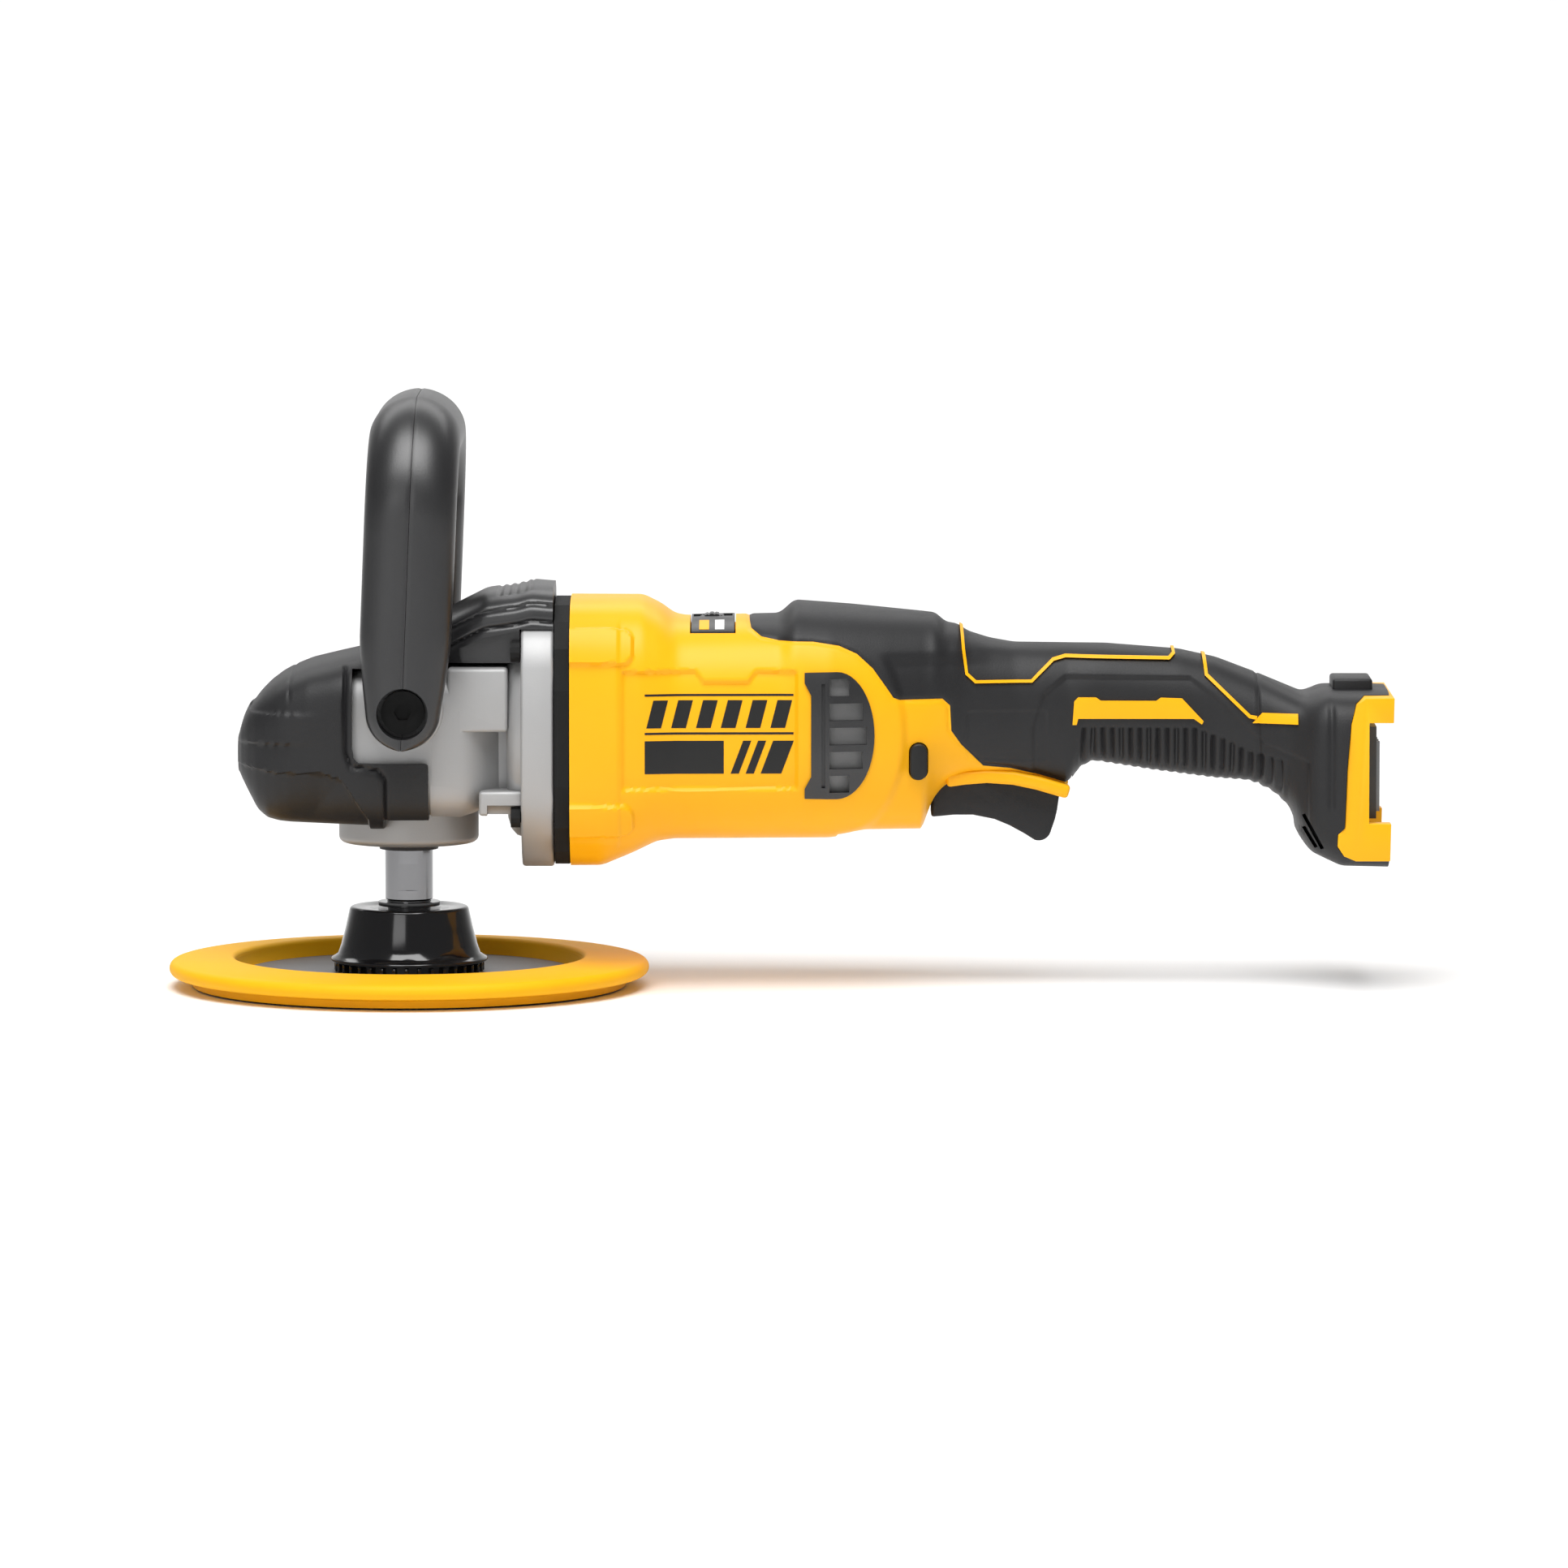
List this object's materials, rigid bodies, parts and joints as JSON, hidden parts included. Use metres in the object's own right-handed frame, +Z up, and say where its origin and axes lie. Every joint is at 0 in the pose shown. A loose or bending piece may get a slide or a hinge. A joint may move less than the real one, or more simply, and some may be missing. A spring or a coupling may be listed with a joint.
{
  "type": "rotary polisher",
  "caption": "Cordless rotary polisher without battery: bevel gear head, bail handle, barrel motor body, trigger grip and hook-faced backing pad.",
  "frame": {"origin": "centre of the backing pad's hook face, on the spindle axis", "axes": "+Z up the spindle, +X along the body towards the battery foot, -Y the tool's left side"},
  "size_m": [0.4516, 0.178, 0.2204],
  "materials": {
    "yellow_plastic": "satin moulded plastic",
    "pad_foam": "moulded polyurethane foam",
    "black_plastic": "fine-grained moulded plastic",
    "black_rubber": "matt overmoulded rubber",
    "gloss_black": "gloss",
    "cast_aluminium": "blasted die casting",
    "chrome": "ground and plated",
    "steel": "machined",
    "copper": null,
    "grey_mesh": "fine mesh",
    "grey_plate": "satin",
    "hook_black": "hook pile"
  },
  "bodies": {
    "tool": {"battery_rail": "yellow_plastic", "bearing_retainer": "cast_aluminium", "control_module": "grey_plate", "dial_bezel": "black_plastic", "flange_screw_1": "steel", "flange_screw_2": "steel", "flange_screw_3": "steel", "flange_screw_4": "steel", "gasket_plate": "black_plastic", "gear_case": "cast_aluminium", "gear_case_cover": "black_rubber", "grip_left": "black_rubber", "grip_right": "black_rubber", "handle_bolt_left": "steel", "handle_bolt_right": "steel", "housing_left": "yellow_plastic", "housing_right": "yellow_plastic", "motor_bearing_front": "steel", "motor_bearing_rear": "steel", "retainer_screw_1": "steel", "retainer_screw_2": "steel", "retainer_screw_3": "steel", "retainer_screw_4": "steel", "shell_screw_1": "steel", "shell_screw_2": "steel", "shell_screw_3": "steel", "shell_screw_4": "steel", "spindle_bearing_lower": "steel", "spindle_bearing_upper": "steel", "stator": "copper", "switch_module": "black_plastic", "terminal_blade_1": "copper", "terminal_blade_2": "copper", "terminal_blade_3": "copper", "terminal_blade_4": "copper", "terminal_block": "black_plastic", "top_shroud": "black_plastic", "trigger_pin": "steel", "vent_mesh_left": "grey_mesh", "vent_mesh_right": "grey_mesh", "vent_shield_left": "black_plastic", "vent_shield_right": "black_plastic"},
    "spindle": {"spindle": "chrome", "ring_gear": "steel", "dust_collar": "black_rubber", "hub_washer": "black_plastic", "pad_hub": "gloss_black", "pad_plate": "grey_plate", "backing_pad": "pad_foam", "hook_face": "hook_black"},
    "rotor": {"rotor_shaft": "steel", "pinion": "steel", "rotor_core": "steel", "motor_fan": "black_plastic"},
    "trigger": {"trigger": "black_plastic"},
    "lock_button": {"lock_button": "black_plastic"},
    "spindle_lock": {"spindle_lock_button": "black_plastic"},
    "speed_dial": {"speed_dial": "black_plastic"},
    "handle": {"bail_handle_front": "black_plastic", "bail_handle_rear": "black_plastic"}
  },
  "joints": [
    {"name": "spindle_spin", "type": "hinge", "parent": "tool", "child": "spindle", "pos_m": [0, 0, 0.06], "axis": [0, 0, 1], "continuous": true},
    {"name": "rotor_spin", "type": "hinge", "parent": "tool", "child": "rotor", "pos_m": [0.08, 0, 0.0962], "axis": [1, 0, 0], "continuous": true},
    {"name": "trigger_pull", "type": "hinge", "parent": "tool", "child": "trigger", "pos_m": [0.201, 0, 0.08], "axis": [0, -1, 0], "range_deg": [0, 8], "stiffness_Nm_per_rad": 0.8, "springref_deg": -11.46},
    {"name": "lock_button_press", "type": "slide", "parent": "tool", "child": "lock_button", "axis": [0, 1, 0], "range_m": [0, 0.0035], "stiffness_N_per_m": 500, "springref_m": -0.002},
    {"name": "spindle_lock_press", "type": "slide", "parent": "tool", "child": "spindle_lock", "axis": [0, 0, -1], "range_m": [0, 0.004], "stiffness_N_per_m": 600, "springref_m": -0.002},
    {"name": "speed_dial_turn", "type": "hinge", "parent": "tool", "child": "speed_dial", "pos_m": [0.1129, 0, 0.13071], "axis": [0, 1, 0], "range_deg": [0, 270]},
    {"name": "handle_swing", "type": "hinge", "parent": "tool", "child": "handle", "pos_m": [-0.0002, 0, 0.1064], "axis": [0, 1, 0], "range_deg": [-25, 25]}
  ],
  "couplings": [
    {"joint": "rotor_spin", "follows": "spindle_spin", "ratio": 3}
  ]
}
